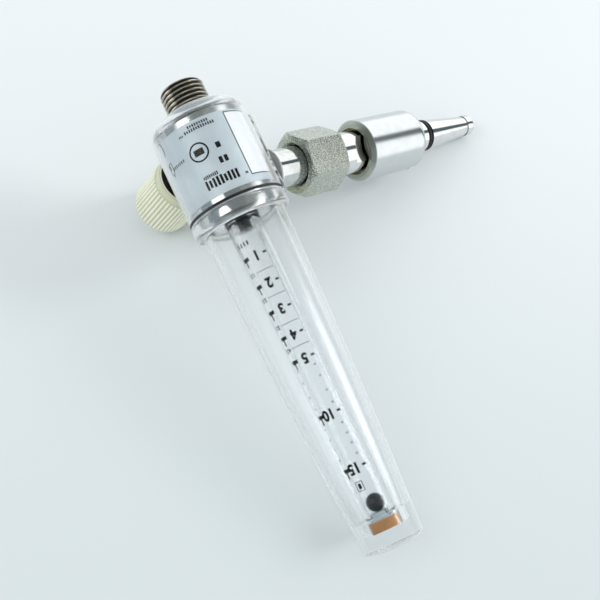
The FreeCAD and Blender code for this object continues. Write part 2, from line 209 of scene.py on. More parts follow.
nutLook = {
    "tone": rgb(233, 236, 228), "dim": rgb(156, 160, 148), "grain": 3600.0, "cloud": 420.0, "fleck": (0.45, 0.6),
    "rough": 0.16, "fleckRough": 0.1, "cloudRough": 0.08, "bump": 0.2, "height": 0.04 * mm,
}


def blastedMetal(name, look):
    # fine pits over a dull warm plate: small bright flecks, on a coarser mottle that only changes the gloss
    paint = newPaint(name)
    here = paint.place()
    grain = paint.noise(look["grain"], 3.0, here, 0.65)
    cloud = paint.noise(look["cloud"], 3.0, here)
    mask = paint.span(grain, *look["fleck"])
    shader = paint.node("BsdfPrincipled", None, {
        "Base Color": paint.blend(mask, look["dim"], look["tone"]), "Metallic": 1.0,
        "Roughness": look["rough"] + look["fleckRough"] * mask + look["cloudRough"] * cloud,
        "Normal": paint.bump(grain, look["bump"], look["height"])})
    return paint.surface(shader)


clearLook = {
    "shell": {"tint": (0.99, 0.996, 1.0, 1.0), "rough": 0.12, "milky": {"from": 0.35, "to": 0.95, "share": 0.5}},
    "tube": {"tint": (0.995, 0.998, 1.0, 1.0), "rough": 0.1, "milky": None},
}
clearStuff = {          # bend is the plastic's refractive index, shade the light left in its shadow
    "bend": 1.49, "shine": (0.25, 0.25, 0.25, 1.0), "wave": 60.0, "waveStretch": (1, 1, 6), "bump": 0.001,
    "waveHeight": 0.4 * mm, "skin": rgb(250, 252, 253), "skinRough": 0.35, "shade": (0.9, 0.915, 0.92, 1.0),
}


def clearPlastic(name, look):
    # light passes straight on from dull surfaces and, a little dimmed, for shadows, so that what is inside and
    # below stays lit; seen edge-on, the moulded skin turns from clear to milky
    paint = newPaint(name)
    wave = paint.noise(clearStuff["wave"], 1.0, paint.place(scale=clearStuff["waveStretch"]))
    shader = paint.node("BsdfPrincipled", None, {
        "Base Color": look["tint"], "Roughness": look["rough"], "IOR": clearStuff["bend"],
        "Transmission Weight": 1.0, "Specular Tint": clearStuff["shine"],
        "Normal": paint.bump(wave, clearStuff["bump"], clearStuff["waveHeight"])})
    milky = look["milky"]
    if milky:
        edgeOn = paint.node("LayerWeight", None, {"Blend": 0.5}, out="Facing")
        skin = paint.node("BsdfPrincipled", None, {
            "Base Color": clearStuff["skin"], "Roughness": clearStuff["skinRough"]})
        share = milky["share"] * paint.span(edgeOn, milky["from"], milky["to"])
        shader = paint.node("MixShader", None, {0: share, 1: shader, 2: skin})
    dull = paint.node("LightPath", out="Is Diffuse Ray")
    shadow = paint.node("LightPath", out="Is Shadow Ray")
    shader = paint.node("MixShader", None, {0: dull, 1: shader, 2: paint.node("BsdfTransparent")})
    shade = paint.node("BsdfTransparent", None, {"Color": clearStuff["shade"]})
    return paint.surface(paint.node("MixShader", None, {0: shadow, 1: shader, 2: shade}))


plainLook = {
    "label": {"tone": rgb(208, 219, 224), "dim": rgb(194, 206, 212), "rough": 0.42, "grain": 900.0, "bump": 0.1,
              "metal": 0.25},
    "panel": {"tone": rgb(243, 246, 248), "dim": rgb(236, 240, 243), "rough": 0.5, "grain": 900.0, "bump": 0.1},
    "ink": {"tone": rgb(10, 12, 15), "dim": rgb(18, 20, 23), "rough": 0.6, "grain": 2000.0, "bump": 0.1,
            "gloss": 0.15},
    "paleInk": {"tone": rgb(70, 78, 84), "dim": rgb(52, 60, 66), "rough": 0.6, "grain": 2000.0, "bump": 0.1,
                "gloss": 0.15},
    "knob": {"tone": rgb(250, 251, 232), "dim": rgb(244, 246, 224), "rough": 0.36, "grain": 1400.0, "bump": 0.12},
    "rubber": {"tone": rgb(22, 23, 26), "dim": rgb(32, 33, 36), "rough": 0.4, "grain": 1800.0, "bump": 0.2},
    "seal": {"tone": rgb(190, 194, 192), "dim": rgb(176, 180, 178), "rough": 0.5, "grain": 1500.0, "bump": 0.2},
    "float": {"tone": rgb(12, 18, 24), "dim": rgb(34, 42, 50), "rough": 0.3, "grain": 700.0, "bump": 0.6,
              "height": 0.2 * mm},
    "stop": {"tone": rgb(182, 196, 200), "dim": rgb(162, 176, 182), "rough": 0.3, "grain": 1500.0, "bump": 0.2},
    "cushion": {"tone": rgb(176, 130, 82), "dim": rgb(142, 98, 56), "rough": 0.6, "grain": 1100.0, "bump": 0.3},
}
grained = {"cloud": 1 / 12, "cloudy": (0.35, 0.65), "rough": 0.12, "height": 0.04 * mm}


def plainFinish(name, look, groove=None):
    # a moulded or printed surface: two near colours in soft clouds, with a fine grain; a groove paints shade into the
    # valleys between the knob's ridges, and darker painted shade into its hollow up to the hollow's floor and onto
    # its back face inside the rim
    paint = newPaint(name)
    here = paint.place(groove["centre"] if groove else (0, 0, 0))
    cloud = paint.noise(look["grain"] * grained["cloud"], 4.0, here)
    fine = paint.noise(look["grain"], 3.0, here)
    shade = paint.blend(paint.span(cloud, *grained["cloudy"]), look["tone"], look["dim"])
    if groove:
        # painted shade in the valleys between the knob's ridges
        shade = paint.blend(paint.crests(here, "x", groove), groove["tone"], shade)
        along, reach = paint.parts(here)[0], paint.radial(here, "x")
        edge = groove["edge"]
        hollow = paint.under(reach, groove["hollow"], edge) * paint.under(along, groove["floor"], 2 * edge)
        back = paint.under(along, groove["back"], edge) * paint.under(reach, groove["rim"], edge)
        # painted shade: the hollow and the back face inside the rim are darkened where shade falls
        shade = paint.blend(hollow.orMore(back), shade, groove["dark"])
    shader = paint.node("BsdfPrincipled", None, {
        "Base Color": shade, "Metallic": look.get("metal", 0.0), "Roughness": look["rough"] + grained["rough"] * fine,
        "Specular IOR Level": look.get("gloss", 0.5),
        "Normal": paint.bump(fine, look["bump"], look.get("height", grained["height"]))})
    return paint.surface(shader)


tubeCentre = (0, tubeY, 0)
knobCentre = (0, tubeY, knobZ)
# painted shade in the thread's roots, darkening the grooves between the crests
threadRootShade = {"inside": (0.0, 0.3 * mm), "root": 6.55 * mm, "crest": 7.0 * mm, "tone": rgb(70, 64, 56)}
# the tooled end's tone is its own; 'dark' is the recess's painted tone for its light and shade
sleeveFace = {"end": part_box("indexing_sleeve")[0].y - tubeY + 3.9 * mm, "rim": 10.1 * mm, "recess": 8.05 * mm,
              "tone": rgb(172, 176, 164), "dark": rgb(188, 184, 166)}
# painted shade on the knob: its ridge valleys, its hollow and its back face
knobPaintedShade = {"inside": (knobRadius - 0.9 * mm, 0.3 * mm), "root": knobRadius - 0.46 * mm,
              "crest": knobRadius - 0.12 * mm, "tone": rgb(206, 210, 182), "centre": knobCentre,
              "hollow": 7.25 * mm, "floor": knobHigh.x - 5.0 * mm, "back": knobLow.x + 0.05 * mm,
              "rim": 8.6 * mm, "edge": 0.1 * mm, "dark": rgb(26, 28, 28)}
finish = {
    "probe": turnedMetal("probe_plate", metalLook["polished"], "y", tubeCentre),
    "stub": turnedMetal("stub_plate", metalLook["body"], "y", tubeCentre),
    "body": turnedMetal("body_chrome", metalLook["body"], "z", tubeCentre,
                        soft={"rough": 0.12, "top": 1.0 * mm}),
    "sleeve": turnedMetal("sleeve_satin", metalLook["satin"], "y", tubeCentre, face=sleeveFace),
    "thread": turnedMetal("thread_nickel", metalLook["thread"], "z", tubeCentre, threadRootShade),
    "brass": turnedMetal("brass_turned", metalLook["brass"], "z", tubeCentre),
    "jet": turnedMetal("jet_blackened", metalLook["dark"], "z", tubeCentre),
    "valve": turnedMetal("valve_nickel", metalLook["dark"], "x", knobCentre),
    "nut": blastedMetal("nut_blasted", nutLook),
    "clear": clearPlastic("clear_shell", clearLook["shell"]),
    "tube": clearPlastic("clear_tube", clearLook["tube"]),
    "label": plainFinish("label_film", plainLook["label"]),
    "panel": plainFinish("label_panel", plainLook["panel"]),
    "ink": plainFinish("print_ink", plainLook["ink"]),
    "paleInk": plainFinish("faint_ink", plainLook["paleInk"]),
    "knob": plainFinish("knob_plastic", plainLook["knob"], knobPaintedShade),
    "rubber": plainFinish("black_rubber", plainLook["rubber"]),
    "seal": plainFinish("grey_seal", plainLook["seal"]),
    "float": plainFinish("float_black", plainLook["float"]),
    "stop": plainFinish("stop_grey", plainLook["stop"]),
    "cushion": plainFinish("cushion_tan", plainLook["cushion"]),
}
nodeFinish = {
    "valve_body": "body", "outlet_fitting": "thread", "body_sleeve": "clear", "label_wrap": "label",
    "collar_gasket": "rubber", "shroud": "clear", "flow_tube": "tube", "tube_gasket": "rubber",
    "orifice_insert": "jet", "float_ball": "float", "float_stop": "stop", "end_cushion": "cushion",
    "inlet_gasket": "seal", "inlet_washer": "probe", "inlet_stub": "stub", "inlet_filter": "brass",
    "union_seal": "seal", "union_nut": "nut", "probe_body": "probe", "indexing_sleeve": "sleeve",
    "probe_o_ring": "rubber", "valve_seat": "brass", "valve_bonnet": "valve", "stem_o_ring": "rubber",
    "valve_stem": "valve", "knob": "knob", "knob_set_screw": "valve",
}
for name, look in nodeFinish.items():
    nodes[name].data.materials.clear()
    nodes[name].data.materials.append(finish[look])
print("finishes set on", len(nodeFinish), "nodes")


# Mesh building

weldGap, sliverEdge = 1e-7, 1e-8          # points nearer than this are one, and edges shorter than this go


def makePiece(name, parts, look, body="root", sharp=35.0):
    # joins (points, faces) parts into one mesh, merges doubles and turns the faces outwards
    mesh = bpy.data.meshes.new(name)
    points = np.concatenate([np.asarray(p, float).reshape(-1, 3) for p, _ in parts])
    offsets = np.cumsum([0] + [len(np.asarray(p).reshape(-1, 3)) for p, _ in parts])
    faces = [tuple(int(k + start) for k in face)
             for (_, some), start in zip(parts, offsets) for face in some]
    mesh.from_pydata(points.tolist(), [], faces)
    work = bmesh.new()
    work.from_mesh(mesh)
    bmesh.ops.remove_doubles(work, verts=work.verts, dist=weldGap)
    bmesh.ops.dissolve_degenerate(work, edges=work.edges, dist=sliverEdge)
    bmesh.ops.recalc_face_normals(work, faces=work.faces)
    work.to_mesh(mesh)
    work.free()
    mesh.shade_smooth()
    mesh.set_sharp_from_angle(angle=math.radians(sharp))
    piece = bpy.data.objects.new(name, mesh)
    bpy.context.scene.collection.objects.link(piece)
    mesh.materials.append(finish[look])
    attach(piece, body)
    return piece


def gridFaces(rows, columns, closeRows=False, closeColumns=False):
    # quads between neighbouring rows and columns of a grid of points
    rowStarts = range(rows if closeRows else rows - 1)
    columnStarts = range(columns if closeColumns else columns - 1)
    return [(r * columns + c, r * columns + (c + 1) % columns,
             (r + 1) % rows * columns + (c + 1) % columns, (r + 1) % rows * columns + c)
            for r in rowStarts for c in columnStarts]


def lathe(name, profile, look, body="root", around=900, sharp=25.0):
    # a closed (radius, height) outline turned about the flow tube's axis; points on the axis become poles
    outline = np.asarray(profile, float)
    angle = np.linspace(0, 2 * np.pi, around, endpoint=False)
    radii, heights = outline[:, :1], outline[:, 1:]
    points = np.stack([radii * np.cos(angle), tubeY + radii * np.sin(angle), heights + 0 * angle], axis=-1)
    return makePiece(name, [(points, gridFaces(len(outline), around, True, True))], look, body, sharp)


def curveThrough(start, middle, end, count):
    # points on the parabola r(z) through three (radius, height) points
    heights = np.linspace(start[1], end[1], count)
    shape = np.polyfit([p[1] for p in (start, middle, end)], [p[0] for p in (start, middle, end)], 2)
    return list(zip(np.polyval(shape, heights), heights))


def rounded(centre, radius, first, last, count=7):
    # points on an arc about a (radius, height) centre, from one angle to another in degrees
    angle = np.radians(np.linspace(first, last, count))
    return list(zip(centre[0] + radius * np.cos(angle), centre[1] + radius * np.sin(angle)))


# Clear parts: the barrelled shroud with its collar and end pocket, and the taper-bored flow tube

shroudShape = {
    "bore": 12.35 * mm, "collar": 4.8 * mm, "collarRound": 1.3 * mm, "root": 13.35 * mm, "mid": 12.1 * mm,
    "midRise": 44.8 * mm, "tip": 9.3 * mm, "lip": 0.8 * mm, "wall": 2.2 * mm, "flare": 1.5 * mm, "relief": 0.5 * mm,
    "pocket": 4.8 * mm, "entry": 1.0 * mm, "rimRound": 0.4 * mm, "rows": 28,
}
tubeShape = {
    "root": 5.5 * mm, "tip": 4.55 * mm, "socket": 3.1 * mm, "socketDepth": 5.0 * mm, "boreRoot": 2.85 * mm,
    "boreTip": 3.2 * mm, "edge": 0.25 * mm, "rows": 24,
}


def makeShroud(size):
    # up the barrelled outside to the rounded end, then down the pocket, the barrelled cavity and the collar's bore
    outer = shroudHigh.x
    bottom, end = shroudLow.z, shroudHigh.z
    collarTop = bottom + size["collar"]
    cushionLow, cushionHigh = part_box("end_cushion")
    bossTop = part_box("tube_gasket")[0].z
    ceiling = cushionLow.z - size["entry"]
    wall, lip, rim = size["wall"], size["lip"], size["rimRound"]
    outside = curveThrough((size["root"], collarTop), (size["mid"], collarTop + size["midRise"]),
                           (size["tip"], end - lip), size["rows"])
    inside = curveThrough((size["root"] - wall, bossTop + size["flare"]),
                          (size["mid"] - wall, (collarTop + ceiling) / 2), (size["tip"] - wall, ceiling),
                          size["rows"])
    profile = [(size["bore"], bottom), (outer - rim, bottom)] + rounded((outer - rim, bottom + rim), rim, -90, 0, 4)
    profile += rounded((outer - size["collarRound"], collarTop - size["collarRound"]), size["collarRound"], 0, 90)
    profile += outside
    profile += rounded((size["tip"] - lip, end - lip), lip, 10, 90) + [(0, end), (0, cushionHigh.z)]
    profile += [(size["pocket"], cushionHigh.z), (size["pocket"], ceiling)] + inside[::-1]
    profile += [(size["bore"], bossTop + size["relief"])]
    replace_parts(lathe("shroud_shell", profile, "clear"), "shroud")


def makeFlowTube(size):
    # the outside narrows upwards and the bore widens, above a socket of one width
    bottom, top = tubeLow.z, tubeHigh.z
    edge = size["edge"]
    socket = bottom + size["socketDepth"]
    rows = size["rows"]
    profile = [(size["socket"], socket), (size["socket"], bottom), (size["root"] - edge, bottom)]
    profile += list(zip(np.linspace(size["root"], size["tip"], rows), np.linspace(bottom + edge, top - edge, rows)))
    profile += [(size["tip"] - edge, top)]
    profile += list(zip(np.linspace(size["boreTip"], size["boreRoot"], rows), np.linspace(top, socket, rows)))
    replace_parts(lathe("flow_tube_bore", profile, "tube"), "flow_tube")


makeShroud(shroudShape)
makeFlowTube(tubeShape)
print("shroud and flow tube made")


# Outlet thread

outletThread = {
    "pitch": 25.4 / 18 * mm, "depth": 0.84 * mm, "crest": 0.12, "perTurn": 20, "around": 120,
    "shank": 5.0 * mm, "gasBore": 2.0 * mm, "bore": 3.0 * mm, "cone": 1.6 * mm, "socket": 8.0 * mm,
    "shankTop": 7.3 * mm, "chamfer": 0.9 * mm, "neck": 6.3 * mm, "neckLength": 2.4 * mm, "neckStep": 0.1 * mm,
    "rootFrom": 0.85, "rootSlope": 0.3,
}


def threadRadius(height, turn, size, low, high, crest):
    # a flat crest, straight flanks and a flattened root, repeated along the helix and cut back at both ends
    phase = ((height - low) / size["pitch"] - turn) % 1.0
    flank = np.abs(phase - 0.5) * 2
    dip = np.clip((flank - size["crest"]) / (1 - size["crest"]), 0, 1)
    dip = np.where(dip > size["rootFrom"], size["rootFrom"] + (dip - size["rootFrom"]) * size["rootSlope"], dip)
    radius = crest - size["depth"] * dip
    lowLimit = crest - size["chamfer"] + (height - low)
    highLimit = size["neck"] - size["neckStep"] + (high - height)
    return np.minimum(radius, np.minimum(lowLimit, highLimit))


def makeOutlet(size):
    # each row is one turn that climbs by the pitch; plain rings close it with the cone, the bore and the shank
    low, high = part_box("outlet_fitting")
    crest = (high.x - low.x) / 2
    bottom, seat = low.z, high.z - size["shankTop"]
    top = seat - size["neckLength"]
    turn = np.linspace(0, 1, size["around"] + 1)
    step = size["pitch"] / size["perTurn"]
    count = int((top - bottom) / step) + 2
    k = np.arange(-size["perTurn"], count)[:, None]
    height = np.clip(bottom + k * step + turn[None, :] * size["pitch"], bottom, top)
    radius = threadRadius(height, turn[None, :], size, bottom, top, crest)
    rings = [(size["gasBore"], bottom + size["socket"]), (size["bore"], bottom + size["socket"]),
             (size["bore"], bottom + size["cone"]), (size["bore"] + size["cone"], bottom)]
    caps = [(size["neck"], top), (size["neck"], seat), (size["shank"], seat), (size["shank"], high.z),
            (size["gasBore"], high.z)]
    radii = np.concatenate([np.full((1, len(turn)), r) for r, _ in rings] + [radius]
                           + [np.full((1, len(turn)), r) for r, _ in caps])
    heights = np.concatenate([np.full((1, len(turn)), h) for _, h in rings] + [height]
                             + [np.full((1, len(turn)), h) for _, h in caps])
    angle = 2 * np.pi * turn[None, :]
    points = np.stack([radii * np.cos(angle), tubeY + radii * np.sin(angle), heights], axis=-1)
    faces = gridFaces(points.shape[0], points.shape[1], closeRows=True)
    piece = makePiece("outlet_threaded", [(points, faces)], "thread", sharp=28.0)
    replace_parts(piece, "outlet_fitting")


makeOutlet(outletThread)
print("outlet thread made")


# Printed marks

def wrapInk(flat, angle, height, radius, slope=0.0):
    # flat (u, v, w) marks bent round the tube's axis: u runs round, v up, and w outwards from the surface
    u, v, w = flat[:, 0], flat[:, 1], flat[:, 2]
    z = height + v
    reach = radius + slope * v + w
    turn = math.radians(angle) + u / radius
    return np.stack([reach * np.cos(turn), tubeY + reach * np.sin(turn), z], axis=-1)


inkStep, inkThick, inkLift = 0.25 * mm, 0.03 * mm, 0.01 * mm          # lift keeps the print off the tube


def inkStroke(path, width, thick=inkThick, closed=False):
    # a flat band of that width along a path in (u, v), with a thickness, its points at most a step apart
    corners = np.asarray(path, float)
    ends = np.roll(corners, -1, axis=0) if closed else corners[1:]
    starts = corners if closed else corners[:-1]
    spots = []
    for a, b in zip(starts, ends):
        count = max(1, int(np.ceil(np.linalg.norm(b - a) / inkStep)))
        spots.append(a + (b - a) * np.arange(count)[:, None] / count)
    if not closed:
        spots.append(corners[-1:])
    line = np.concatenate(spots)
    if closed:
        tangent = np.roll(line, -1, axis=0) - np.roll(line, 1, axis=0)
    else:
        tangent = np.gradient(line, axis=0)
    tangent /= np.linalg.norm(tangent, axis=1)[:, None]
    across = np.stack([-tangent[:, 1], tangent[:, 0]], axis=-1) * width / 2
    rows = [np.column_stack([line + side * across, np.full(len(line), lift)])
            for side, lift in ((-1, 0), (1, 0), (1, thick), (-1, thick))]
    points = np.stack(rows, axis=1).reshape(-1, 3)
    faces = gridFaces(len(line), 4, closeRows=closed, closeColumns=True)
    if not closed:
        last = (len(line) - 1) * 4
        faces += [(0, 1, 2, 3), (last + 3, last + 2, last + 1, last)]
    return points, faces


def inkText(figures, size, weight, squeeze=1.0):
    # plain figures from the built-in font, cut into narrow strips so that they bend smoothly
    curve = bpy.data.curves.new("figures", "FONT")
    curve.body, curve.size, curve.offset = figures, size, weight
    curve.align_x, curve.align_y, curve.extrude = "CENTER", "CENTER", inkThick / 2
    holder = bpy.data.objects.new("figures", curve)
    bpy.context.scene.collection.objects.link(holder)
    bpy.context.view_layer.update()
    mesh = bpy.data.meshes.new_from_object(holder.evaluated_get(bpy.context.evaluated_depsgraph_get()))
    bpy.data.objects.remove(holder)
    work = bmesh.new()
    work.from_mesh(mesh)
    bmesh.ops.remove_doubles(work, verts=work.verts, dist=sliverEdge)
    reach = max(v.co.x for v in work.verts)
    cut = -reach
    while cut < reach:
        bmesh.ops.bisect_plane(work, geom=work.verts[:] + work.edges[:] + work.faces[:],
                               plane_co=(cut, 0, 0), plane_no=(1, 0, 0))
        cut += inkStep * 2
    work.verts.ensure_lookup_table()
    points = np.array([v.co for v in work.verts]) * (squeeze, 1, 1) + (0, 0, inkThick / 2)
    faces = [tuple(v.index for v in f.verts) for f in work.faces]
    work.free()
    bpy.data.meshes.remove(mesh)
    bpy.data.curves.remove(curve)
    return points, faces


def squarePath(halfWide, halfTall):
    # the four corners of an upright rectangle about zero
    return [(-halfWide, -halfTall), (halfWide, -halfTall), (halfWide, halfTall), (-halfWide, halfTall)]


def ringPath(radius, count=40, start=0.0, sweep=360.0):
    # evenly spaced points on a circle or an arc of it
    angle = np.radians(start + np.arange(count) / (count if sweep == 360.0 else count - 1) * sweep)
    return np.stack([radius * np.cos(angle), radius * np.sin(angle)], axis=-1)


# Flow scale on the tube

flowScale = {
    "marks": {"1": 26.1, "2": 35.1, "3": 43.6, "4": 52.0, "5": 59.7, "10": 77.4, "15": 94.3},
    "halves": {"1.5": 31.1, "2.5": 39.3, "3.5": 48.4, "4.5": 55.8},
    "minor": (62.6, 66.2, 70.8, 74.6, 81.1, 84.3, 87.4, 90.7),
    "dashDeg": -165.0, "figureDeg": -136.5, "pairDeg": -126.5, "tickDeg": -95.0, "smallDeg": -91.6,
    "minorDeg": (-158.0, -86.0), "halfDeg": (-172.0, -109.0), "boxDeg": -119.4, "boxZ": 99.6,
    "figureSize": 4.3 * mm, "figureWeight": 0.19 * mm, "figureSqueeze": 0.84,
    "smallSize": 1.8 * mm, "smallWeight": 0.05 * mm, "boxLine": 0.2 * mm,
    # bars: their size round the tube and along it, in mm
    "dash": (1.15, 0.62), "tick": (2.5, 1.15), "stem": (0.5, 2.5), "minorBar": (0.6, 0.34), "box": (2.0, 2.7),
    "boxBar": (0.85, 1.6), "footBar": (0.5, 1.3),
    "stemDeg": -93.0, "stemRise": 1.2, "halfLine": 0.17, "halfRadius": 5.2,
    "footDeg": (-128.0, -116.0, -104.0, -92.0), "footZ": 21.6,
}


def tubeInk(mark, deg, z):
    # wraps a mark on the tube, whose radius falls evenly from its root to its tip
    slope = (tubeShape["tip"] - tubeShape["root"]) / (tubeHigh.z - tubeLow.z)
    radius = tubeShape["root"] + slope * (z * mm - tubeLow.z) + inkLift
    return wrapInk(mark[0], deg, z * mm, radius, slope), mark[1]


def bar(wide, tall):
    # a solid bar, given by its size round the tube and along it
    if wide >= tall:
        return inkStroke([(-wide / 2 * mm, 0), (wide / 2 * mm, 0)], tall * mm)
    return inkStroke([(0, -tall / 2 * mm), (0, tall / 2 * mm)], wide * mm)


def makeScale(size):
    bold, faint = [], []
    for figures, z in size["marks"].items():
        bold.append(tubeInk(bar(*size["dash"]), size["dashDeg"], z))
        text = inkText(figures, size["figureSize"], size["figureWeight"], size["figureSqueeze"])
        bold.append(tubeInk(text, size["pairDeg"] if len(figures) == 2 else size["figureDeg"], z))
        bold.append(tubeInk(bar(*size["tick"]), size["tickDeg"], z))
        bold.append(tubeInk(bar(*size["stem"]), size["stemDeg"], z + size["stemRise"]))
    first, last = size["halfDeg"]
    for figures, z in size["halves"].items():
        wide = math.radians(last - first) * size["halfRadius"]
        faint.append(tubeInk(bar(wide, size["halfLine"]), (first + last) / 2, z))
        faint.append(tubeInk(inkText(figures, size["smallSize"], size["smallWeight"]), size["smallDeg"], z))
    for z in size["minor"]:
        for deg in size["minorDeg"]:
            faint.append(tubeInk(bar(*size["minorBar"]), deg, z))
    square = squarePath(size["box"][0] / 2 * mm, size["box"][1] / 2 * mm)
    bold.append(tubeInk(inkStroke(square, size["boxLine"], closed=True), size["boxDeg"], size["boxZ"]))
    bold.append(tubeInk(bar(*size["boxBar"]), size["boxDeg"], size["boxZ"]))
    for deg in size["footDeg"]:
        faint.append(tubeInk(bar(*size["footBar"]), deg, size["footZ"]))
    makePiece("scale_figures", bold, "ink")
    makePiece("scale_fine_marks", faint, "paleInk")


makeScale(flowScale)
print("flow scale made")


# Label print: a blank outlined panel, a ring with a bar, rows of plain bars and a turn mark

labelPrint = {
    "radius": 14.06 * mm,
    "panelDeg": (144.5, 181.0), "panelZ": (-15.8, 5.0), "panelThick": 0.01 * mm, "panelLine": 0.3 * mm,
    "ringDeg": -131.7, "ringZ": -6.9, "ringRadius": 2.75 * mm, "ringLine": 0.5 * mm, "ringBar": (3.0, 2.0),
    "loneBar": (1.4, 1.8), "loneDeg": -155.8, "loneZ": -6.7,
    "turnMark": ((-0.9, -2.1), (0.9, -2.1), (0.9, 0.6), (0.0, 2.1), (-0.9, 0.6)), "turnLine": 0.24 * mm,
    "turnDeg": -85.0, "turnZ": -7.4, "turnBar": (0.8, 1.6), "turnBarDeg": -83.0, "turnBarZ": -8.4,
    "arcRadius": 4.0 * mm, "arcFrom": 150.0, "arcSweep": 70.0, "arcPoints": 24, "arcLine": 0.42 * mm,
    "arcShift": 3.6 * mm, "arcDeg": -84.0, "arcZ": -14.4,
    "shorter": 0.22,          # how much shorter every fourth bar of a row is
    # rows of bars: first and last degree, height, number of bars, their width and height
    "rows": (
        (-162.0, -126.0, -13.9, 13, 0.42, 0.95), (-156.0, -132.0, -15.1, 9, 0.42, 0.85),
        (-121.5, -117.5, -13.6, 3, 0.3, 0.6), (-162.4, -124.2, 3.35, 9, 0.74, 2.9),
        (-141.0, -124.0, 0.95, 8, 0.36, 1.1), (-158.0, -151.6, -2.1, 2, 1.05, 2.0),
        (-109.5, -90.0, -7.2, 7, 0.34, 0.9), (-174.6, -172.6, 4.1, 2, 0.34, 0.7),
    ),
}


def labelInk(mark, deg, z):
    # wraps a mark on the label
    return wrapInk(mark[0], deg, z * mm, labelPrint["radius"]), mark[1]


def makeLabelPrint(size):
    radius = size["radius"]
    first, last = size["panelDeg"]
    low, high = size["panelZ"]
    halfWide = math.radians(last - first) / 2 * radius
    middle = (first + last) / 2
    halfTall = (high - low) / 2 * mm
    centreZ = (high + low) / 2
    panel = inkStroke([(-halfWide, 0), (halfWide, 0)], 2 * halfTall, size["panelThick"])
    makePiece("label_blank_panel", [labelInk(panel, middle, centreZ)], "panel")
    outline = inkStroke(squarePath(halfWide, halfTall), size["panelLine"], closed=True)
    ring = inkStroke(ringPath(size["ringRadius"]), size["ringLine"], closed=True)
    ink = [labelInk(outline, middle, centreZ), labelInk(ring, size["ringDeg"], size["ringZ"]),
           labelInk(bar(*size["ringBar"]), size["ringDeg"], size["ringZ"]),
           labelInk(bar(*size["loneBar"]), size["loneDeg"], size["loneZ"])]
    for start, end, z, count, wide, tall in size["rows"]:
        for k in range(count):
            share = k / (count - 1)
            shrink = 1.0 - size["shorter"] * (k % 4 == 3)
            ink.append(labelInk(bar(wide, tall * shrink), start + (end - start) * share, z))
    turnMark = inkStroke(np.array(size["turnMark"]) * mm, size["turnLine"], closed=True)
    ink.append(labelInk(turnMark, size["turnDeg"], size["turnZ"]))
    ink.append(labelInk(bar(*size["turnBar"]), size["turnBarDeg"], size["turnBarZ"]))
    path = ringPath(size["arcRadius"], size["arcPoints"], size["arcFrom"], size["arcSweep"])
    arc = inkStroke(path + (size["arcShift"], 0), size["arcLine"])
    ink.append(labelInk(arc, size["arcDeg"], size["arcZ"]))
    makePiece("label_print", ink, "ink")


makeLabelPrint(labelPrint)
print("label print made")


# Camera, as the photograph was taken

shot = {
    "spot": (-0.2210, -0.2460, 0.0820), "right": (-0.4996, 0.7552, 0.4244), "down": (0.3610, -0.2638, 0.8945),
    "focal": 925.07, "pixels": 600, "sensor": 36.0, "clip": (0.01, 20.0),
}
rightWay = Vector(shot["right"]).normalized()
backWay = rightWay.cross(-Vector(shot["down"])).normalized()
upWay = backWay.cross(rightWay)
camera = bpy.data.objects.new("camera", bpy.data.cameras.new("camera"))
camera.data.sensor_width = shot["sensor"]
camera.data.lens = shot["focal"] / shot["pixels"] * shot["sensor"]
turn = Matrix((rightWay, upWay, backWay)).transposed()
camera.matrix_world = Matrix.Translation(shot["spot"]) @ turn.to_4x4()
camera.data.clip_start, camera.data.clip_end = shot["clip"]
bpy.context.scene.collection.objects.link(camera)
bpy.context.scene.camera = camera


# Table: the plane that the knob's rim, the shroud's tip and the probe's nose rest on

rest = {"trial": (0.93, 0.29, 0.23), "tries": 40, "knobRound": 1.0 * mm, "nose": 3.85 * mm, "noseBack": 0.8 * mm,
        "gap": 0.05 * mm}


def tablePlane(rims):
    # each rim's lowest point for a trial normal, then the normal of the plane through the three, until it settles
    normal = Vector(rest["trial"]).normalized()
    for _ in range(rest["tries"]):
        contacts = []
        for centre, axis, radius, rounding in rims:
            radial = (normal - axis * normal.dot(axis)).normalized()
            contacts.append(centre + radial * (radius - rounding) + normal * rounding)
        found = (contacts[1] - contacts[0]).cross(contacts[2] - contacts[0]).normalized()
        normal = found if found.dot(normal) > 0 else -found
    return contacts, normal


knobRound, tipRound = rest["knobRound"], shroudShape["lip"]
rims = [          # centre, axis, radius and rounding
    (Vector((knobHigh.x - knobRound, tubeY, knobZ)), Vector((1, 0, 0)), knobRadius, knobRound),
    (Vector((0, tubeY, shroudHigh.z - tipRound)), Vector((0, 0, 1)), shroudShape["tip"], tipRound),
    (Vector((0, probeHigh.y - rest["noseBack"], 0)), Vector((0, 1, 0)), rest["nose"], 0.0),
]
contacts, intoTable = tablePlane(rims)
skyWay = -intoTable
print("table normal", [round(c, 4) for c in skyWay])

# far and near are the table's painted light falloff: lighter on its far side, darker towards the camera
stage = {"reach": 0.3, "far": rgb(233, 238, 240), "near": rgb(213, 222, 224), "span": 0.13}
acrossWay = rightWay - skyWay * rightWay.dot(skyWay)
acrossWay.normalize()
depthWay = skyWay.cross(acrossWay)
middle = sum(contacts, Vector()) / 3 + intoTable * rest["gap"]
corners = [middle + acrossWay * a * stage["reach"] + depthWay * b * stage["reach"]
           for a, b in ((-1, -1), (1, -1), (1, 1), (-1, 1))]
floorMesh = bpy.data.meshes.new("table")
floorMesh.from_pydata([tuple(c) for c in corners], [], [(0, 1, 2, 3)])
floor = bpy.data.objects.new("table", floorMesh)
bpy.context.scene.collection.objects.link(floor)
paint = newPaint("table_top")
